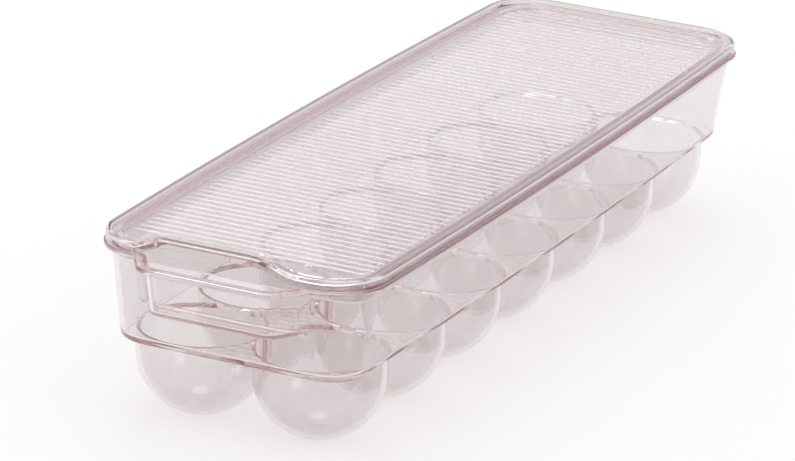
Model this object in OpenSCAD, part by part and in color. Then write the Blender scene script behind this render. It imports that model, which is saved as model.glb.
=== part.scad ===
// Clear covered tray with two columns of round-bottomed cups, a pull handle in the
// front wall and a ribbed lift-off lid. X runs across, Y along, the handle end is -Y.
// The part stands on the flat spots under its cups at Z = 0.

/* [Cups] */
// Number of cup rows along the tray
rows = 7; // [3:1:9]
// Outer radius of a cup
cup_r = 23.7; // [20:0.1:30]
// Gap between neighbouring cups along the tray
row_gap = 0.6; // [0.4:0.1:8]
// How far the two cups of a row run into each other
column_merge = 1.9; // [0.2:0.1:2.6]
// Wall thickness of a cup
cup_wall = 1.6; // [1.2:0.1:2.4]
// Depth of the flat spot cut under each cup
foot_cut = 0.5; // [0.3:0.1:1]
// Height from the middle of the cup's round to the underside of the floor
cup_rise = 7.2; // [4:0.1:14]

/* [Tray] */
// Thickness of the floor between the cups
floor_t = 1.8; // [1.2:0.1:3]
// Thickness of the tray's wall
wall_t = 1.8; // [1.2:0.1:2.4]
// Gap from the outermost cup to the outside foot of the side wall, at the corners
side_margin = 0.1; // [0:0.1:6]
// Gap from the end cup to the outside foot of the end wall
end_margin = 4.1; // [2:0.1:12]
// Height of the wall, floor top to rim top
wall_h = 33.2; // [28:0.1:60]
// Outward lean of the wall for each millimetre of height
draft = 0.121; // [0.04:0.001:0.16]
// Plan radius of the wall's corners at its foot
corner_r = 14.3; // [9:0.1:22]
// How far the long walls bow outward at their middle
bow = 2.2; // [0:0.1:4]
// Height of the rim flange's edge
rim_h = 2; // [1.8:0.1:4]
// How far the rim flange stands out of the wall
rim_out = 2.7; // [1.5:0.1:5]
// Rounding of the rim's and the lid's edges
edge_r = 0.6; // [0.3:0.1:0.8]

/* [Handle] */
// How far the pull handle bulges out of the front wall
pull_out = 12.2; // [8:0.1:20]
// Half length of the handle's straight middle
pull_flat = 23.5; // [8:0.5:25]
// Half length of the whole handle
pull_half = 33.5; // [28:0.5:38]
// Height of the handle's ledge above the floor top
ledge_h = 14.8; // [8:0.1:20]
// How much less the ledge bulges than the rim
ledge_in = 0.5; // [0.1:0.1:4]

/* [Lid] */
// Overhang of the lid's edge past the top of the wall
lid_over = 2.1; // [0.8:0.1:2.5]
// Height of the lid's edge
lid_h = 4; // [3:0.1:6]
// Width of the raised border
border_w = 6.2; // [5:0.1:9]
// Width of the slope from the border's top down to the panel
border_slope = 1.5; // [0.8:0.1:3]
// Depth of the panel below the border's top
panel_drop = 2.5; // [1.5:0.1:2.9]
// Thickness of the panel
panel_t = 1.8; // [1.2:0.1:3]
// Depth of the locating skirt below the lid's edge
skirt_h = 6.3; // [3:0.1:12]
// Thickness of the locating skirt
skirt_t = 1.5; // [1:0.1:2]
// Clearance between the skirt and the tray's wall, at the skirt's foot
skirt_gap = 0.6; // [0.4:0.1:1.5]
// Least width of the lid's edge outside the skirt
edge_land = 0.6; // [0.4:0.1:2]
// Depth of the finger notch in the front of the lid
notch_in = 10.2; // [3:0.1:12]
// Distance from the middle to the notch's left end
notch_left = 34; // [24:0.5:36]
// Length of the steep slope at the notch's left end
notch_left_run = 5; // [4:0.5:18]
// Distance from the middle to the notch's right end
notch_right = 29; // [24:0.5:36]
// Length of the gentle slope at the notch's right end
notch_right_run = 23; // [4:0.5:24]
// Distance between the panel's ribs
rib_pitch = 4.5; // [3:0.1:8]
// Width of a rib
rib_w = 3; // [1:0.1:3.4]
// Height of a rib
rib_h = 0.35; // [0.2:0.05:0.8]
// Smooth margin between the ribs and the edge of the panel
rib_margin = 0.4; // [0.2:0.1:6]
// Distance from the raised border or the skirt to the edge of the panel
panel_seam = 1; // [0.5:0.1:3]

/* [Hidden] */

// Clear plastic, a shade apart so that the pieces read
wall_colour = [0.90, 0.88, 0.89, 0.5];
cup_colour = [0.86, 0.86, 0.88, 0.5];
rim_colour = [0.80, 0.72, 0.76, 0.6];
panel_colour = [0.84, 0.80, 0.82, 0.5];

// Heights
cup_z = cup_r - foot_cut;
floor_z = cup_z + cup_rise;
foot_z = floor_z + floor_t;
rim_z = foot_z + wall_h;
ledge_z = foot_z + ledge_h;
lid_top = rim_z + lid_h;
panel_top = lid_top - panel_drop;
panel_under = panel_top - panel_t;
skirt_z = rim_z - skirt_h;

// Plan sizes at the foot of the wall, where the outline has no offset
row_pitch = 2 * cup_r + row_gap;
column_pitch = 2 * cup_r - column_merge;
half_w = column_pitch / 2 + cup_r + side_margin;
end_row_y = (rows - 1) / 2 * row_pitch;
half_l = end_row_y + cup_r + end_margin;
straight_x = half_w - corner_r;
straight_y = half_l - corner_r;

// Offsets from that outline
wall_top_off = draft * wall_h;
rim_off = wall_top_off + rim_out;
lid_off = wall_top_off + lid_over;
skirt_off = draft * (wall_h - skirt_h) - wall_t - skirt_gap;
skirt_back = max(0, notch_in + edge_land - (lid_off - skirt_off));
panel_off = min(lid_off - border_w, skirt_off - skirt_t) - panel_seam;

// The handle makes the front reach further than the back, and the origin is midway
front_reach = half_l + rim_off + pull_out;
back_reach = half_l + rim_off;
mid_y = (front_reach - back_reach) / 2;

// How far a cut runs past what it cuts
spare = 1;

// Steps round the outline and the cups
front_steps = 48;
corner_steps = 12;
side_steps = 12;
back_steps = 4;
arc_steps = 10;
round_fn = 64;

// S-shaped blend from 0 to 1 while t goes from 0 to 1
function ease(t) = let (u = min(1, max(0, t))) u * u * (3 - 2 * u);

// One corner of the outline, as stations of place and outward normal
function corner(cx, cy, from) = [
    for (k = [0 : corner_steps])
        let (a = from + 90 * k / corner_steps)
        [cx + corner_r * cos(a), cy + corner_r * sin(a), cos(a), sin(a)]
];
function bowed(y) = half_w + bow * (1 - pow(y / straight_y, 2));

// Stations round the foot of the wall, counter-clockwise from the front left
stations = concat(
    [for (k = [1 : front_steps - 1])
        [straight_x * (2 * k / front_steps - 1), -half_l, 0, -1]],
    corner(straight_x, -straight_y, -90),
    [for (k = [1 : side_steps - 1])
        let (y = straight_y * (2 * k / side_steps - 1)) [bowed(y), y, 1, 0]],
    corner(straight_x, straight_y, 0),
    [for (k = [1 : back_steps - 1])
        [straight_x * (1 - 2 * k / back_steps), half_l, 0, 1]],
    corner(-straight_x, straight_y, 90),
    [for (k = [1 : side_steps - 1])
        let (y = straight_y * (1 - 2 * k / side_steps)) [-bowed(y), y, -1, 0]],
    corner(-straight_x, -straight_y, 180)
);

// Share of the handle's reach, reach of the notch and set-back of the skirt at a station
function pull(s) = s[3] < 0 ? ease((pull_half - abs(s[0])) / (pull_half - pull_flat)) : 0;
function notch_share(x) = x < 0
    ? ease((notch_left + x) / notch_left_run)
    : ease((notch_right - x) / notch_right_run);
function notch(s) = s[3] < 0 ? notch_in * notch_share(s[0]) : 0;
function set_back(s) = s[3] < 0 ? skirt_back * s[3] * s[3] : 0;
function skirt_in(s) = max(set_back(s), notch(s) - (lid_off - skirt_off) + edge_land);

// A station's point at an offset, moved along Y by dy
function at(s, off, dy) = [s[0] + s[2] * off, s[1] + s[3] * off + dy];

// One ring of points at height z
function ring(plan, z) = [for (p = plan) [p[0], p[1], z]];

// Closed band swept through a loop of rings, with the last ring joined to the first
module band(rings) {
    n = len(rings[0]);
    m = len(rings);
    points = [for (r = rings) each r];
    faces = [
        for (i = [0 : m - 1], j = [0 : n - 1])
            let (a = i * n + j, b = i * n + (j + 1) % n)
            let (c = ((i + 1) % m) * n + j, d = ((i + 1) % m) * n + (j + 1) % n)
            each [[a, c, b], [b, c, d]]
    ];
    polyhedron(points, faces);
}

// Ring of the tray's wall at an offset and height, with the handle's reach there
function wall_ring(off, z, reach) =
    ring([for (s = stations) at(s, off, -reach * pull(s))], z);
function wall_off(z) = draft * (z - foot_z);

// Drafted wall, rim flange and front pull handle, standing on the floor
module tray_wall() {
    rim_under = rim_z - rim_h;
    neck_z = rim_under - rim_out / 2;
    ledge_top = ledge_z + wall_t;
    ledge_out = pull_out - ledge_in;
    color(wall_colour) translate([0, mid_y, 0]) band([
        wall_ring(0, foot_z, 0),
        wall_ring(wall_off(ledge_z), ledge_z, 0),
        wall_ring(wall_off(ledge_z + edge_r), ledge_z + edge_r, ledge_out),
        wall_ring(wall_off(neck_z), neck_z, pull_out),
        wall_ring(rim_off - edge_r, rim_under, pull_out),
        wall_ring(rim_off, rim_under + edge_r, pull_out),
        wall_ring(rim_off, rim_z - edge_r, pull_out),
        wall_ring(rim_off - edge_r, rim_z, pull_out),
        wall_ring(wall_top_off - wall_t, rim_z, pull_out),
        wall_ring(wall_off(ledge_top + edge_r) - wall_t, ledge_top + edge_r, ledge_out),
        wall_ring(wall_off(ledge_top) - wall_t, ledge_top, 0),
        wall_ring(-wall_t, foot_z, 0)
    ]);
}

// Half section of a cup's outside or inside: flat spot, round, then straight to the top
module cup_section(r, low, top) {
    start = asin((cup_z - low) / r);
    polygon(concat(
        [[0, top], [0, low]],
        [for (k = [0 : arc_steps])
            let (a = start * (1 - k / arc_steps))
            [r * cos(a), cup_z - r * sin(a)]],
        [[r, top]]
    ));
}

// A solid of revolution with a cup's section, at each column
module cup_pair(r, low, top) {
    for (side = [-1, 1])
        translate([side * column_pitch / 2, 0, 0])
            rotate_extrude($fn = round_fn) cup_section(r, low, top);
}

// Slice of the floor between two planes across the tray
module floor_slice(y0, y1) {
    translate([0, 0, floor_z]) linear_extrude(floor_t) intersection() {
        polygon([for (s = stations) [s[0], s[1]]]);
        translate([-half_w - bow - spare, y0]) square([2 * (half_w + bow + spare), y1 - y0]);
    }
}

// One row of two cups with its slice of the floor, from the front
module cup_row(i) {
    y = (i - 1) * row_pitch - end_row_y;
    y0 = i == 1 ? -half_l - spare : y - row_pitch / 2;
    y1 = i == rows ? half_l + spare : y + row_pitch / 2;
    color(cup_colour) translate([0, mid_y, 0]) difference() {
        union() {
            floor_slice(y0, y1);
            translate([0, y, 0]) cup_pair(cup_r, 0, foot_z - floor_t / 2);
        }
        translate([0, y, 0]) cup_pair(cup_r - cup_wall, cup_wall, foot_z + spare);
    }
}

// Rings of the lid: offset and height, with the notch or the skirt's set-back in front
function lid_ring(off, z) = ring([for (s = stations) at(s, off, notch(s))], z);
function skirt_ring(off, z) = ring([for (s = stations) at(s, off, skirt_in(s))], z);

// Raised border of the lid with its edge and its locating skirt
module lid_rim() {
    border_in = lid_off - border_w;
    color(rim_colour) translate([0, mid_y, 0]) band([
        lid_ring(lid_off, rim_z),
        lid_ring(lid_off, lid_top - 2 * edge_r),
        lid_ring(lid_off - edge_r / 2, lid_top - edge_r / 2),
        lid_ring(lid_off - 2 * edge_r, lid_top),
        lid_ring(border_in + border_slope, lid_top),
        lid_ring(border_in, panel_top),
        lid_ring(panel_off, panel_top),
        lid_ring(panel_off, panel_under),
        skirt_ring(skirt_off - skirt_t, panel_under),
        skirt_ring(skirt_off - skirt_t, skirt_z),
        skirt_ring(skirt_off, skirt_z),
        skirt_ring(skirt_off, rim_z)
    ]);
}

// Ribbed panel inside the raised border
module lid_panel() {
    edge = [for (s = stations) at(s, panel_off, notch(s))];
    panel_r = corner_r + panel_off;
    reach = half_l + panel_off - rib_margin;
    front = half_l + panel_off - notch_in - rib_margin;
    count = floor((reach + front - rib_w) / rib_pitch);
    color(panel_colour) translate([0, mid_y, 0]) union() {
        translate([0, 0, panel_under]) linear_extrude(panel_t) polygon(edge);
        for (k = [0 : count]) {
            y = reach - rib_w - k * rib_pitch;
            far = max(abs(y), abs(y + rib_w)) - straight_y;
            pulled = far > 0 ? panel_r - sqrt(max(0, panel_r * panel_r - far * far)) : 0;
            x = half_w + panel_off - rib_margin - pulled;
            translate([-x, y, panel_top - rib_h]) cube([2 * x, rib_w, 2 * rib_h]);
        }
    }
}

tray_wall();
for (i = [1 : rows])
    cup_row(i);
lid_rim();
lid_panel();
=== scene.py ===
"""Looks of a clear lidded tray with two columns of round cups. The tray and the lid are one moulding each.

Lengths are in millimetres and become the frame's metres when a mesh is made. X runs across the tray, Y runs
along it, and the handle is at the -Y end.
"""

import math

import bmesh
import bpy
from mathutils import Matrix, Vector


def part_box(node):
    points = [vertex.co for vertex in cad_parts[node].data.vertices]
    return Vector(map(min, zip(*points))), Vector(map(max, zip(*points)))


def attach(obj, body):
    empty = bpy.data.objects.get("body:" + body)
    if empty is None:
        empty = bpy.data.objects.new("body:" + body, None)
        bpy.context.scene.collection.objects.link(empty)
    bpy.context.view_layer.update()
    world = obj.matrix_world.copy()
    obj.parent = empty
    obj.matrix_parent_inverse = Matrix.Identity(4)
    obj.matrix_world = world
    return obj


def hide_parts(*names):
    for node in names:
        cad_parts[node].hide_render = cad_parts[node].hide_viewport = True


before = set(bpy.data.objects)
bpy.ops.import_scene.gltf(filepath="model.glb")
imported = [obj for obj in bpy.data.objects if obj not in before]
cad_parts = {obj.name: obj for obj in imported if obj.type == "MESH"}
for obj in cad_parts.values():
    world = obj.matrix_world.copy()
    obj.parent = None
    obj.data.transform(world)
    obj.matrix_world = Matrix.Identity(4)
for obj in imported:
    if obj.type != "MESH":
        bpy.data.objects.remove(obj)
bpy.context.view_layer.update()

MM = 0.001

# Points closer than this become one
MERGE = 1e-4

# Cups
CUP_R = 23.7
CUP_WALL = 1.6
CUP_FLAT = 0.5
CUP_CLEAR = 0.02
MOUTH_R = 1.7
COLUMN_PITCH = 45.5

# Floor, wall and rim of the tray
FLOOR_T = 1.8
WALL_T = 1.8
DRAFT = 0.121
CORNER_R = 14.3
BOW = 2.2
RIM_H = 2.0
RIM_OUT = 2.7
FLOOR_EDGE_R = 1.6
FLOOR_FILLET = 1.2
NECK_FILLET = 1.0
RIM_LOW_R = 0.9
RIM_TOP_R = 0.7
LIP_R = 0.7

# Pull handle in the front wall. Where its ledge is shallower than the last size there is none
PULL_OUT = 12.2
PULL_START = math.radians(5.3)
PULL_TURN = math.radians(58)
PULL_INNER_R = 2.0
PULL_OUTER_R = 11.0
LEDGE_H = 14.8
LEDGE_FOOT_R = 1.2
LEDGE_EDGE_R = 2.6
LEDGE_LEAST = 1e-3

# Edge, raised border and panel of the lid
LID_OVER = 2.1
LID_EDGE_R = 1.3
LID_LOW_R = 0.5
LID_WALL_T = 1.6
EDGE_LAND = 0.6
BORDER_W = 6.2
BORDER_SLOPE = 1.5
BORDER_EASE = 0.5
PANEL_DROP = 2.5
PANEL_T = 1.8
PANEL_SEAM = 1.0

# Hollows under the border, on both sides of the skirt. The last two are shares of the inner one's size
CHANNEL_R = 0.6
CHANNEL_FULL = 2.5
ROOF_START = -0.3
ROOF_FULL = 1.5
BEHIND_FLAT = 0.9
BEHIND_DROP = 0.85

# Locating skirt and finger notch of the lid
SKIRT_T = 1.5
SKIRT_GAP = 0.6
SKIRT_TIP_R = 0.5
NOTCH_IN = 10.2
NOTCH_LEFT = 34.0
NOTCH_LEFT_RUN = 5.0
NOTCH_RIGHT = 29.0
NOTCH_RIGHT_RUN = 23.0

# Ribs across the lid's panel
RIB_PITCH = 4.5
RIB_W = 3.6
RIB_H = 0.2
RIB_MARGIN = 0.4
RIB_ROOT = 0.3
RIB_SLOPE = 1.0

# Steps of the curves
FRONT_STEPS = 130
CORNER_STEPS = 24
SIDE_STEPS = 28
BACK_STEPS = 6
ARC_STEPS = 6
BEND_STEPS = 14
CUP_STEPS = 112
CUP_ARC_STEPS = 22
SLOPE_STEPS = 10
HOLLOW_STEPS = 10

# Faces that meet at less than this angle are shaded as one smooth surface
SMOOTH_ANGLE = math.radians(32)


def node_box(node):
    """Lowest and highest corner of a CAD node, in millimetres."""
    return [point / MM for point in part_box(node)]


# Heights and plan sizes that the frame gives
wall_low, wall_high = node_box("tray_wall")
lid_low, lid_high = node_box("lid_rim")
cup_rows = sorted(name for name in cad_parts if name.startswith("cup_row_"))
middle_low, middle_high = node_box(cup_rows[len(cup_rows) // 2])
foot_z = wall_low.z
rim_z = wall_high.z
lid_top = lid_high.z
skirt_z = lid_low.z
floor_z = foot_z - FLOOR_T
cup_z = CUP_R - CUP_FLAT
ledge_z = foot_z + LEDGE_H
panel_top = lid_top - PANEL_DROP
panel_under = panel_top - PANEL_T
border_under = lid_top - LID_WALL_T
row_pitch = middle_high.y - middle_low.y
middle_y = (middle_high.y + middle_low.y) / 2


def wall_off(z):
    """Offset of the wall's outside at a height, from the outline at its foot."""
    return DRAFT * (z - foot_z)


# Other offsets from that outline
wall_top_off = wall_off(rim_z)
rim_off = wall_top_off + RIM_OUT
lid_off = wall_top_off + LID_OVER
skirt_off = wall_off(skirt_z) - WALL_T - SKIRT_GAP
skirt_back = max(0, NOTCH_IN + EDGE_LAND - (lid_off - skirt_off))
border_in = lid_off - BORDER_W
panel_off = min(border_in, skirt_off - SKIRT_T) - PANEL_SEAM

# That outline's half sizes, and the half sizes of its straight stretches
half_w = wall_high.x - rim_off - BOW
half_l = wall_high.y - middle_y - rim_off
straight_x = half_w - CORNER_R
straight_y = half_l - CORNER_R

# Half width of the front, with the first part of each corner
front_end = straight_x + CORNER_R * math.sin(PULL_START)


def ease(t):
    """S-shaped blend from 0 to 1 while t goes from 0 to 1."""
    u = min(1.0, max(0.0, t))
    return u * u * (3 - 2 * u)


def steps(count, start=0.0, end=1.0):
    """count + 1 even steps from start to end."""
    return [start + (end - start) * k / count for k in range(count + 1)]


# Outlines. A station is a place and an outward normal: x, y, nx, ny


def bowed(y):
    """Half width of the outline at y."""
    return half_w + BOW * (1 - (y / straight_y) ** 2)


def corner(x, y, start, end):
    """Stations round one corner between two angles."""
    found = []
    for angle in steps(CORNER_STEPS, start, end):
        c = math.cos(angle)
        s = math.sin(angle)
        found.append((x + CORNER_R * c, y + CORNER_R * s, c, s))
    return found


def outline(front):
    """Stations counter-clockwise round the foot of the wall, the front stretch first."""
    side = steps(SIDE_STEPS, -straight_y, straight_y)[1:-1]
    back = steps(BACK_STEPS, straight_x, -straight_x)[1:-1]
    turn = math.pi / 2
    return (
        front
        + corner(straight_x, -straight_y, PULL_START - turn, 0)
        + [(bowed(y), y, 1, 0) for y in side]
        + corner(straight_x, straight_y, 0, turn)
        + [(x, half_l, 0, 1) for x in back]
        + corner(-straight_x, straight_y, turn, 2 * turn)
        + [(-bowed(y), y, -1, 0) for y in reversed(side)]
        + corner(-straight_x, -straight_y, 2 * turn, 3 * turn - PULL_START)
    )


def plain_front(places):
    """Stations at these x along the front without the handle, with the first part of each corner."""
    found = []
    for x in places:
        past = max(0.0, abs(x) - straight_x)
        nx = math.copysign(past / CORNER_R, x)
        ny = -math.sqrt(1 - nx * nx)
        found.append((x, -straight_y + CORNER_R * ny, nx, ny))
    return found


def handle_front():
    """The front with the handle: a bend, a slope and a bend at each end, and a straight bar between them."""
    bar_y = -half_l - rim_off - PULL_OUT
    out = CORNER_R + rim_off + PULL_INNER_R
    inner_x = straight_x + out * math.sin(PULL_START)
    inner_y = -straight_y - out * math.cos(PULL_START)
    both_r = PULL_INNER_R + PULL_OUTER_R
    outer_y = bar_y + PULL_OUTER_R
    drop = inner_y + both_r * math.cos(PULL_TURN) - outer_y
    outer_x = inner_x - both_r * math.sin(PULL_TURN) - drop / math.tan(PULL_TURN)
    inner_r = PULL_INNER_R + rim_off
    outer_r = PULL_OUTER_R - rim_off
    right = []
    for angle in steps(BEND_STEPS, PULL_START, PULL_TURN):
        nx = math.sin(angle)
        ny = -math.cos(angle)
        right.append((inner_x - inner_r * nx, inner_y - inner_r * ny, nx, ny))
    for angle in steps(BEND_STEPS, PULL_TURN, 0):
        nx = math.sin(angle)
        ny = -math.cos(angle)
        right.append((outer_x + outer_r * nx, outer_y + outer_r * ny, nx, ny))
    left = [(-x, y, -nx, ny) for x, y, nx, ny in right]
    bar = [(x, bar_y + rim_off, 0, -1) for x in steps(BEND_STEPS, -outer_x, outer_x)[1:-1]]
    return left + bar + right[::-1]


def at(station, off):
    """A station's point at an offset from the outline."""
    x, y, nx, ny = station
    return Vector((x + nx * off, y + ny * off))


def raised(point, z):
    """A point of an outline at a height."""
    return Vector((point.x, point.y + middle_y, z))


# Lofts


def arc(x, z, r, start, end, count=ARC_STEPS):
    """Offsets and heights along an arc, its angles in degrees."""
    return [
        (x + r * math.cos(math.radians(a)), z + r * math.sin(math.radians(a)))
        for a in steps(count, start, end)
    ]


def loft(bm, rings):
    """Closed skin through rings of equal length, with a cap on the first and on the last."""
    rows = [[bm.verts.new(point) for point in ring] for ring in rings]
    count = len(rows[0])
    for low, high in zip(rows, rows[1:]):
        for j in range(count):
            k = (j + 1) % count
            bm.faces.new((low[j], low[k], high[k], high[j]))
    bm.faces.new(reversed(rows[0]))
    bm.faces.new(rows[-1])


def made(name, build):
    """An object whose mesh build() draws in millimetres."""
    bm = bmesh.new()
    build(bm)
    bmesh.ops.remove_doubles(bm, verts=bm.verts, dist=MERGE)
    bmesh.ops.scale(bm, vec=Vector((MM, MM, MM)), verts=bm.verts)
    mesh = bpy.data.meshes.new(name)
    bm.to_mesh(mesh)
    bm.free()
    piece = bpy.data.objects.new(name, mesh)
    bpy.context.scene.collection.objects.link(piece)
    return piece


def combine(piece, operation, tool):
    """Joins the tool to the piece, or cuts it out of it, and removes the tool."""
    boolean = piece.modifiers.new(operation, "BOOLEAN")
    boolean.operation = operation
    boolean.solver = "MANIFOLD"
    boolean.object = tool
    bpy.context.view_layer.update()
    depsgraph = bpy.context.evaluated_depsgraph_get()
    whole = bpy.data.meshes.new_from_object(piece.evaluated_get(depsgraph))
    piece.modifiers.clear()
    piece.data = whole
    bpy.data.objects.remove(tool)


def smooth(piece):
    """Smooth shading, with the edges that are really sharp kept sharp."""
    bm = bmesh.new()
    bm.from_mesh(piece.data)
    bmesh.ops.remove_doubles(bm, verts=bm.verts, dist=MERGE * MM)
    for face in bm.faces:
        face.smooth = True
    for edge in bm.edges:
        edge.smooth = edge.calc_face_angle(0.0) < SMOOTH_ANGLE
    bm.to_mesh(piece.data)
    bm.free()
    flats = piece.modifiers.new("true_flats", "WEIGHTED_NORMAL")
    flats.keep_sharp = True


# Tray

tray_front = handle_front()
tray_pulled = outline(tray_front)
tray_plain = outline(plain_front([x for x, *_ in tray_front]))
tray_stations = list(zip(tray_plain, tray_pulled))


def plain_ring(off, z):
    """Ring below the handle's ledge."""
    return [raised(at(plain, off), z) for plain, _ in tray_stations]


def pulled_ring(off, z):
    """Ring above the handle's ledge."""
    return [raised(at(pulled, off), z) for _, pulled in tray_stations]


def ledge_ring(shift, z, foot_r, edge_r, angle, at_edge):
    """Ring on the handle's ledge, in the fillet at its foot or on the rounding of its edge."""
    c = math.cos(math.radians(angle))
    s = math.sin(math.radians(angle))
    ring = []
    for plain, pulled in tray_stations:
        near = at(plain, wall_off(z) + shift)
        way = at(pulled, wall_off(z) + shift) - near
        depth = way.length
        if depth < LEDGE_LEAST:
            ring.append(raised(near, z))
            continue
        fits = min(1.0, depth / (foot_r + edge_r))
        if at_edge:
            r = edge_r * fits
            out = depth - r * (1 - s)
            rise = r * (1 - c)
        else:
            r = foot_r * fits
            out = r * (1 - c)
            rise = -r * (1 - s)
        ring.append(raised(near + way * (out / depth), z + rise))
    return ring


def ledge(shift, z, foot_r, edge_r):
    """Rings from the front wall out along the ledge and round its edge."""
    return [
        ledge_ring(shift, z, foot_r, edge_r, angle, at_edge)
        for at_edge in (False, True)
        for angle in steps(ARC_STEPS, 0, 90)
    ]


def open_box(bm):
    """Floor plate, drafted wall with the handle, and rim flange."""
    outside = [
        plain_ring(wall_off(z) + off, z)
        for off, z in arc(-FLOOR_EDGE_R, floor_z + FLOOR_EDGE_R, FLOOR_EDGE_R, -90, 0)
    ]
    outside += ledge(0, ledge_z, LEDGE_FOOT_R, LEDGE_EDGE_R)
    rim_under = rim_z - RIM_H
    neck = wall_off(rim_under - NECK_FILLET)
    rim = arc(neck + NECK_FILLET, rim_under - NECK_FILLET, NECK_FILLET, 180, 90)
    rim += arc(rim_off - RIM_LOW_R, rim_under + RIM_LOW_R, RIM_LOW_R, -90, 0)
    rim += arc(rim_off - RIM_TOP_R, rim_z - RIM_TOP_R, RIM_TOP_R, 0, 90)
    rim += arc(wall_top_off - WALL_T + LIP_R, rim_z - LIP_R, LIP_R, 90, 180)
    rim = [pulled_ring(off, z) for off, z in rim]
    inside = ledge(-WALL_T, ledge_z + WALL_T, LEDGE_FOOT_R + WALL_T, LEDGE_EDGE_R - WALL_T)[::-1]
    inside += [
        plain_ring(wall_off(z) - WALL_T + off, z)
        for off, z in arc(-FLOOR_FILLET, foot_z + FLOOR_FILLET, FLOOR_FILLET, 0, -90)
    ]
    loft(bm, outside + rim + inside)


def cup_profile(r, low):
    """Radius and height of a cup's round, from its flat spot to its middle height."""
    start = -math.degrees(math.asin((cup_z - low) / r))
    return arc(0, cup_z, r, start, 0, CUP_ARC_STEPS)


def column(bm, side, profile, wall_x):
    """One solid of revolution for each cup of a column, kept inside the half width that wall_x gives."""
    count = len(cup_rows)
    for row in range(count):
        y = (row - (count - 1) / 2) * row_pitch
        rings = []
        for r, z in profile:
            ring = []
            for angle in steps(CUP_STEPS, 0, 2 * math.pi)[:-1]:
                point = Vector((side * COLUMN_PITCH / 2 + r * math.cos(angle), y + r * math.sin(angle)))
                limit = wall_x(point.y)
                point.x = max(-limit, min(limit, point.x))
                ring.append(raised(point, z))
            rings.append(ring)
        loft(bm, rings)


def cup_outsides(bm, side):
    """The round bodies of a column, which end inside the floor plate."""
    profile = cup_profile(CUP_R, 0) + [(CUP_R, floor_z + FLOOR_T / 2)]
    column(bm, side, profile, lambda y: math.inf)


def cup_insides(bm, side):
    """What is cut out of a column: the hollows with their rounded mouths, kept clear of the wall."""
    inner_r = CUP_R - CUP_WALL
    mouth = arc(inner_r + MOUTH_R, foot_z - MOUTH_R, MOUTH_R, 180, 90)
    profile = cup_profile(inner_r, CUP_WALL) + mouth + [(inner_r + MOUTH_R, foot_z + CUP_CLEAR)]
    column(bm, side, profile, lambda y: bowed(y) - WALL_T - CUP_CLEAR)


def moulded_tray():
    """The open box with its cups, in one piece."""
    tray = made("moulded_tray", open_box)
    for side in (-1, 1):
        combine(tray, "UNION", made("cups", lambda bm: cup_outsides(bm, side)))
    for side in (-1, 1):
        combine(tray, "DIFFERENCE", made("hollows", lambda bm: cup_insides(bm, side)))
    smooth(tray)
    return tray


# Lid

lid_stations = outline(plain_front(steps(FRONT_STEPS, -front_end, front_end)[1:-1]))


def notch_share(x):
    """Share of the finger notch's depth across the front."""
    if x < 0:
        return ease((NOTCH_LEFT + x) / NOTCH_LEFT_RUN)
    return ease((NOTCH_RIGHT - x) / NOTCH_RIGHT_RUN)


def notch(station):
    """How far the finger notch stands back at a station."""
    x, _, _, ny = station
    return NOTCH_IN * notch_share(x) if ny < 0 else 0.0


def skirt_in(station):
    """How far the skirt stands back in front, so that it clears the finger notch."""
    ny = station[3]
    back = skirt_back * ny * ny if ny < 0 else 0.0
    return max(back, notch(station) - (lid_off - skirt_off) + EDGE_LAND)


def panel_in(station):
    """How far the panel's underside stands back, so that it ends behind the notch and behind the skirt."""
    return max(notch(station), skirt_in(station))


def lid_ring(off, z, set_back=notch):
    """Ring at an offset and a height, set back along the front."""
    return [raised(at(s, off) + Vector((0, set_back(s))), z) for s in lid_stations]


def hollow_roof(station, point):
    """Height of the lid's underside at a point: low under the panel, high under the raised border."""
    border = at(station, border_in) + Vector((0, notch(station)))
    past = (point - border).dot(Vector(station[2:]))
    return panel_under + (border_under - panel_under) * ease((past - ROOF_START) / (ROOF_FULL - ROOF_START))


def channel_ring(share, z):
    """Ring in the hollow under the raised border, which closes up where the finger notch meets the skirt."""
    ring = []
    for s in lid_stations:
        near = at(s, skirt_off) + Vector((0, skirt_in(s)))
        way = at(s, lid_off - LID_WALL_T) + Vector((0, notch(s))) - near
        room = way.dot(Vector(s[2:]))
        hollow = ease(room / CHANNEL_FULL)
        point = near + way * (share if room > 0 else 0)
        ring.append(raised(point, rim_z + (min(z, hollow_roof(s, point)) - rim_z) * hollow))
    return ring


def inner_channel_ring(share, rise):
    """Ring in the hollow behind the skirt, which opens only at the finger notch."""
    ring = []
    for s in lid_stations:
        near = at(s, border_in - LID_WALL_T / 2) + Vector((0, notch(s)))
        far = at(s, skirt_off - SKIRT_T) + Vector((0, skirt_in(s)))
        way = far - near
        room = way.dot(Vector(s[2:]))
        hollow = ease((room - LID_WALL_T / 2) / CHANNEL_FULL)
        point = near + way * share if room > 0 else far
        ring.append(raised(point, min(panel_under + rise * hollow, hollow_roof(s, point))))
    return ring


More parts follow.
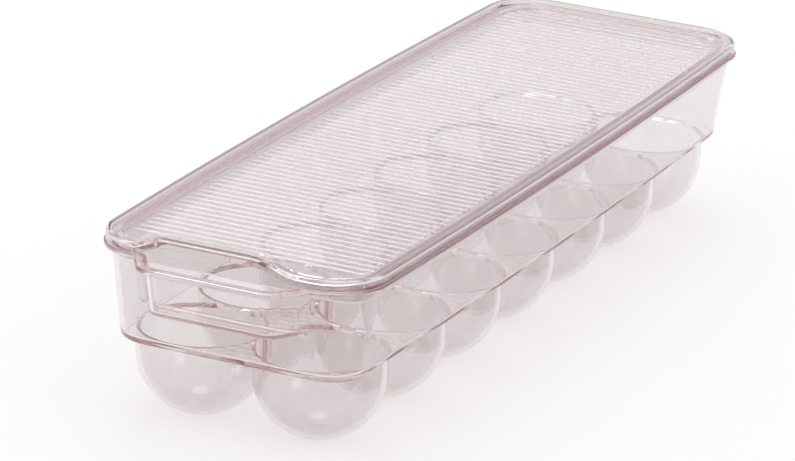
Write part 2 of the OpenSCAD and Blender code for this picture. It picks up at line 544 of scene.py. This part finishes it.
def lid_skin(bm):
    """Panel, locating skirt, edge and raised border."""
    inner = skirt_off - SKIRT_T
    hollow = border_under - panel_under
    behind = [(share, hollow) for share in steps(HOLLOW_STEPS, 0, BEHIND_FLAT)]
    behind += [(1, hollow * BEHIND_DROP), (1, 0)]
    skirt = arc(inner + SKIRT_TIP_R, skirt_z + SKIRT_TIP_R, SKIRT_TIP_R, 180, 270)
    skirt += arc(skirt_off - SKIRT_TIP_R, skirt_z + SKIRT_TIP_R, SKIRT_TIP_R, -90, 0)
    width = lid_off - LID_WALL_T - skirt_off
    channel = [(0, rim_z)]
    channel += arc(CHANNEL_R, border_under - CHANNEL_R, CHANNEL_R, 180, 90)
    channel += [(x, border_under) for x in steps(HOLLOW_STEPS, CHANNEL_R, width - CHANNEL_R)[1:-1]]
    channel += arc(width - CHANNEL_R, border_under - CHANNEL_R, CHANNEL_R, 90, 0)
    channel += [(width, rim_z)]
    edge = arc(lid_off - LID_LOW_R, rim_z + LID_LOW_R, LID_LOW_R, -90, 0)
    edge += arc(lid_off - LID_EDGE_R, lid_top - LID_EDGE_R, LID_EDGE_R, 0, 90)
    slope_w = BORDER_SLOPE + 2 * BORDER_EASE
    for t in steps(SLOPE_STEPS):
        edge.append((border_in + BORDER_EASE + BORDER_SLOPE - slope_w * t, lid_top - PANEL_DROP * ease(t)))
    edge += [(panel_off, panel_top)]
    rings = [lid_ring(panel_off - PANEL_SEAM, panel_under, panel_in)]
    rings += [inner_channel_ring(share, rise) for share, rise in behind]
    rings += [lid_ring(off, z, skirt_in) for off, z in skirt]
    rings += [channel_ring(x / width, z) for x, z in channel]
    rings += [lid_ring(off, z) for off, z in edge]
    loft(bm, rings)


def rib(bm, x, y0, y1):
    """A low bar across the panel with soft slopes all round."""
    profile = [(0, panel_top - RIB_ROOT)]
    profile += [(-RIB_SLOPE * t, panel_top + RIB_H * ease(t)) for t in steps(SLOPE_STEPS)]
    rings = []
    for off, z in profile:
        plan = [(-x - off, y0 - off), (x + off, y0 - off), (x + off, y1 + off), (-x - off, y1 + off)]
        rings.append([raised(Vector(point), z) for point in plan])
    loft(bm, rings)


def ribs(bm):
    """Bars from the back of the panel to the finger notch."""
    panel_r = CORNER_R + panel_off
    reach = half_l + panel_off - RIB_MARGIN
    front = reach - NOTCH_IN
    for k in range(int((reach + front - RIB_W) / RIB_PITCH) + 1):
        y = reach - RIB_W - k * RIB_PITCH
        far = max(abs(y), abs(y + RIB_W)) - straight_y
        pulled = panel_r - math.sqrt(max(0, panel_r**2 - far**2)) if far > 0 else 0
        rib(bm, half_w + panel_off - RIB_MARGIN - pulled, y, y + RIB_W)


def moulded_lid():
    """The lid with its ribs, in one piece."""
    lid = made("moulded_lid", lid_skin)
    combine(lid, "UNION", made("ribs", ribs))
    smooth(lid)
    return lid


# Materials

# Clear plastic of both pieces. The scales and the density are per metre
PLASTIC_IOR = 1.54
CLOUD_SCALE = 28.0
CLOUD_DETAIL = 4.0
HAZE = 0.02
FLOW_SCALE = 22.0
FLOW_DETAIL = 1.0
FLOW_STRENGTH = 0.02
FLOW_DEPTH = 0.4
DEPTH_COLOUR = (0.46, 0.10, 0.15, 1)
TRAY_TINT = (0.915, 0.903, 0.900, 1)
TRAY_HAZY_TINT = (0.901, 0.887, 0.884, 1)
TRAY_DENSITY = 21.0
LID_TINT = (0.815, 0.790, 0.790, 1)
LID_HAZY_TINT = (0.802, 0.776, 0.775, 1)
LID_DENSITY = 18.0

# Light that has turned more often than this goes straight through, and so does light on its way to the floor
MOST_TURNS = 12
PASSING_LIGHT = (0.980, 0.977, 0.978, 1)

# Painted shade along the joint: a dark band painted where shade gathers between the lid's edge and the rim.
# Heights from the rim's top on each piece, soft edge, and distances from X = 0
PAINTED_JOINT_SHADE = (0.40, 0.235, 0.275, 1)
RIM_SHADE_BAND = (-0.6, -0.15)
LID_SHADE_BAND = (0.0, 0.8)
JOINT_SOFT = 0.15
JOINT_FADE = 44.0
JOINT_FULL = 51.0

# Pale floor of the studio
PALE = (0.96, 0.96, 0.96, 1)
PALER = (0.97, 0.97, 0.97, 1)
PALE_ROUGHNESS = 0.9
MOTTLE_SCALE = 6.0
MOTTLE_DETAIL = 3.0

# Places of the colours among a Mix node's sockets
MIX_FIRST = 6
MIX_SECOND = 7
MIX_RESULT = 2


class Shade:
    """A socket of a node tree. Arithmetic on it adds Math nodes."""

    def __init__(self, tree, socket=None):
        self.tree = tree
        self.socket = socket

    def node(self, kind, settings=None, inputs=None, output=0):
        """Adds a node: its settings first, then the values or links of its sockets."""
        added = self.tree.nodes.new(kind)
        for name, value in (settings or {}).items():
            if name == "stops":
                ramp = added.color_ramp.elements
                while len(ramp) < len(value):
                    ramp.new(1.0)
                for element, (position, colour) in zip(ramp, value):
                    element.position = position
                    element.color = colour
            else:
                setattr(added, name, value)
        for name, value in (inputs or {}).items():
            if isinstance(value, Shade):
                self.tree.links.new(value.socket, added.inputs[name])
            else:
                added.inputs[name].default_value = value
        return Shade(self.tree, added.outputs[output] if len(added.outputs) else None)

    def maths(self, operation, first, second):
        """Adds a Math node."""
        return self.node("ShaderNodeMath", {"operation": operation}, {0: first, 1: second})

    def __add__(self, other):
        return self.maths("ADD", self, other)

    def __mul__(self, other):
        return self.maths("MULTIPLY", self, other)

    def __sub__(self, other):
        return self.maths("SUBTRACT", self, other)

    def __rsub__(self, other):
        return self.maths("SUBTRACT", other, self)

    __radd__ = __add__
    __rmul__ = __mul__


def fresh_tree(owner):
    """The emptied node tree of a material or a world."""
    owner.use_nodes = True
    owner.node_tree.nodes.clear()
    return Shade(owner.node_tree)


def noise(tree, place, scale, detail):
    """Cloudy values between 0 and 1."""
    return tree.node("ShaderNodeTexNoise", {}, {"Vector": place, "Scale": scale, "Detail": detail})


def mixed(tree, factor, first, second):
    """The first colour at factor 0 and the second at factor 1."""
    inputs = {"Factor": factor, MIX_FIRST: first, MIX_SECOND: second}
    return tree.node("ShaderNodeMix", {"data_type": "RGBA"}, inputs, output=MIX_RESULT)


def soft_step(tree, value, start, end):
    """0 before the length start, 1 after the length end."""
    return tree.node(
        "ShaderNodeMapRange",
        {"interpolation_type": "SMOOTHSTEP"},
        {"Value": value, "From Min": start * MM, "From Max": end * MM},
    )


def painted_joint_shade_mask(tree, place, low, high):
    """Mask of the painted shade between the pieces: 1 along the long sides in the narrow band where the
    lid's edge stands on the rim, 0 elsewhere.
    """
    across = tree.node("ShaderNodeSeparateXYZ", {}, {"Vector": place}, output="X")
    height = tree.node("ShaderNodeSeparateXYZ", {}, {"Vector": place}, output="Z")
    above = soft_step(tree, height, rim_z + low - JOINT_SOFT, rim_z + low)
    past = soft_step(tree, height, rim_z + high, rim_z + high + JOINT_SOFT)
    out = soft_step(tree, tree.maths("ABSOLUTE", across, 0.0), JOINT_FADE, JOINT_FULL)
    return (above - past) * out


def clear_plastic(name, tint, hazy_tint, density, shade_band):
    """Clear moulding: a faint tint that deepens along the way through it, flow marks, a light haze and a
    band of painted shade where the lid's edge stands on the rim.
    """
    material = bpy.data.materials.new(name)
    tree = fresh_tree(material)
    place = tree.node("ShaderNodeTexCoord", output="Object")
    cloud = noise(tree, place, CLOUD_SCALE, CLOUD_DETAIL)
    flow = noise(tree, place, FLOW_SCALE, FLOW_DETAIL)
    colour = mixed(tree, cloud, tint, hazy_tint)
    # Painted shade: the colour darkens to a shade tint in the band where the lid's edge stands on the rim
    colour = mixed(tree, painted_joint_shade_mask(tree, place, *shade_band), colour, PAINTED_JOINT_SHADE)
    marks = {"Height": flow, "Strength": FLOW_STRENGTH, "Distance": FLOW_DEPTH * MM}
    plastic = tree.node(
        "ShaderNodeBsdfPrincipled",
        {},
        {
            "Base Color": colour,
            "Roughness": HAZE * cloud,
            "IOR": PLASTIC_IOR,
            "Transmission Weight": 1.0,
            "Normal": tree.node("ShaderNodeBump", {}, marks),
        },
    )
    passing = tree.node("ShaderNodeBsdfTransparent", {}, {"Color": PASSING_LIGHT})
    shadow = tree.node("ShaderNodeLightPath", output="Is Shadow Ray")
    bounce = tree.node("ShaderNodeLightPath", output="Is Diffuse Ray")
    turns = tree.node("ShaderNodeLightPath", output="Ray Depth")
    spent = tree.maths("GREATER_THAN", turns, MOST_TURNS)
    surface = tree.node("ShaderNodeMixShader", {}, {0: shadow + bounce + spent, 1: plastic, 2: passing})
    depth = tree.node("ShaderNodeVolumeAbsorption", {}, {"Color": DEPTH_COLOUR, "Density": density})
    tree.node("ShaderNodeOutputMaterial", {}, {"Surface": surface, "Volume": depth})
    return material


def pale_floor():
    """Matt and faintly mottled."""
    material = bpy.data.materials.new("pale_floor")
    tree = fresh_tree(material)
    place = tree.node("ShaderNodeTexCoord", output="Object")
    colour = mixed(tree, noise(tree, place, MOTTLE_SCALE, MOTTLE_DETAIL), PALE, PALER)
    paper = tree.node("ShaderNodeBsdfPrincipled", {}, {"Base Color": colour, "Roughness": PALE_ROUGHNESS})
    tree.node("ShaderNodeOutputMaterial", {}, {"Surface": paper})
    return material


# Stage, in metres, with the lens and the sensor in millimetres

CAMERA_AT = Vector((0.6983, -1.5673, 0.6181))
CAMERA_AIM = Vector((-0.01022, -0.00637, 0.03040))
CAMERA_ROLL = math.radians(2.875)
CAMERA_LENS = 221.36
CAMERA_SENSOR = 36.0
CAMERA_NEAR = 0.05
CAMERA_FAR = 60.0
STUDIO_SIZE = 12.0
STUDIO_SQUARES = 8

# Light of the studio from the horizon to straight overhead
SKY = [
    (0.0, (0.55, 0.54, 0.54, 1)),
    (0.25, (0.60, 0.59, 0.59, 1)),
    (0.60, (0.90, 0.90, 0.90, 1)),
    (1.0, (1.0, 1.0, 1.0, 1)),
]
SKY_STRENGTH = 0.9
WHITE = (1.0, 1.0, 1.0, 1)

# Soft boxes: name, place, aim, width, height, and power in watts
SOFT_BOXES = [
    ("overhead", (-0.25, 0.35, 1.7), (0, 0, 0), 0.6, 0.6, 3),
    ("behind", (-0.72, 1.12, 1.36), (0, 0, 0.05), 0.6, 0.6, 3),
    ("left", (-1.6, -0.9, 0.9), (0, 0, 0.05), 0.7, 1.1, 5),
    ("right", (1.8, -0.5, 1.0), (0, 0, 0.05), 0.7, 1.1, 5),
]

# Most bounces of light, and most layers that it passes straight through
BOUNCES = 24
LAYERS = 40


def set_camera():
    """Long lens from the front right, a little above, leaning as the photograph does."""
    lens = bpy.data.cameras.new("camera")
    lens.sensor_fit = "HORIZONTAL"
    lens.sensor_width = CAMERA_SENSOR
    lens.lens = CAMERA_LENS
    lens.clip_start = CAMERA_NEAR
    lens.clip_end = CAMERA_FAR
    camera = bpy.data.objects.new("camera", lens)
    bpy.context.scene.collection.objects.link(camera)
    turn = (CAMERA_AIM - CAMERA_AT).to_track_quat("-Z", "Y").to_matrix().to_4x4()
    camera.matrix_world = Matrix.Translation(CAMERA_AT) @ turn @ Matrix.Rotation(CAMERA_ROLL, 4, "Z")
    bpy.context.scene.camera = camera


def lay_floor():
    """Flat floor under the tray, part of the stage."""
    bm = bmesh.new()
    size = STUDIO_SIZE / 2
    bmesh.ops.create_grid(bm, x_segments=STUDIO_SQUARES, y_segments=STUDIO_SQUARES, size=size)
    mesh = bpy.data.meshes.new("floor")
    bm.to_mesh(mesh)
    bm.free()
    floor = bpy.data.objects.new("floor", mesh)
    bpy.context.scene.collection.objects.link(floor)
    floor.data.materials.append(pale_floor())


def soft_box(name, place, aim, width, height, power):
    """A wide lamp that faces its aim."""
    lamp = bpy.data.lights.new(name, "AREA")
    lamp.shape = "RECTANGLE"
    lamp.size = width
    lamp.size_y = height
    lamp.energy = power
    light = bpy.data.objects.new(name, lamp)
    bpy.context.scene.collection.objects.link(light)
    light.location = place
    light.rotation_euler = (Vector(aim) - Vector(place)).to_track_quat("-Z", "Y").to_euler()


def set_light():
    """Studio that is brighter overhead, and plain white where it is seen, mirrored or looked at through."""
    world = bpy.data.worlds.new("studio")
    bpy.context.scene.world = world
    tree = fresh_tree(world)
    way = tree.node("ShaderNodeTexCoord", output="Generated")
    height = tree.node("ShaderNodeSeparateXYZ", {}, {"Vector": way}, output="Z")
    sky = tree.node("ShaderNodeValToRGB", {"stops": SKY}, {"Fac": height})
    lit = tree.node("ShaderNodeBackground", {}, {"Color": sky, "Strength": SKY_STRENGTH})
    seen = tree.node("ShaderNodeBackground", {}, {"Color": WHITE, "Strength": 1.0})
    direct = tree.node("ShaderNodeLightPath", output="Is Camera Ray")
    mirrored = tree.node("ShaderNodeLightPath", output="Is Glossy Ray")
    through = tree.node("ShaderNodeLightPath", output="Is Transmission Ray")
    glow = tree.node("ShaderNodeMixShader", {}, {0: direct + mirrored + through, 1: lit, 2: seen})
    tree.node("ShaderNodeOutputWorld", {}, {"Surface": glow})
    for settings in SOFT_BOXES:
        soft_box(*settings)


def render_paths():
    """Enough bounces for light to cross many layers of clear plastic."""
    cycles = bpy.context.scene.cycles
    cycles.max_bounces = BOUNCES
    cycles.transmission_bounces = BOUNCES
    cycles.glossy_bounces = BOUNCES
    cycles.transparent_max_bounces = LAYERS
    cycles.caustics_reflective = False
    cycles.caustics_refractive = False


def dress(piece, material, body, nodes):
    """Finishes a piece and ties it to the frame."""
    piece.data.materials.clear()
    piece.data.materials.append(material)
    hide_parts(*nodes)
    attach(piece, body)


set_camera()
lay_floor()
set_light()
render_paths()

# Each plastic carries a band of painted shade at the joint, at its own heights
tray_plastic = clear_plastic("clear_tray_plastic", TRAY_TINT, TRAY_HAZY_TINT, TRAY_DENSITY, RIM_SHADE_BAND)
lid_plastic = clear_plastic("clear_lid_plastic", LID_TINT, LID_HAZY_TINT, LID_DENSITY, LID_SHADE_BAND)
dress(moulded_tray(), tray_plastic, "tray", ["tray_wall"] + cup_rows)
dress(moulded_lid(), lid_plastic, "lid", ["lid_rim", "lid_panel"])

bpy.context.scene.view_settings.view_transform = "Standard"
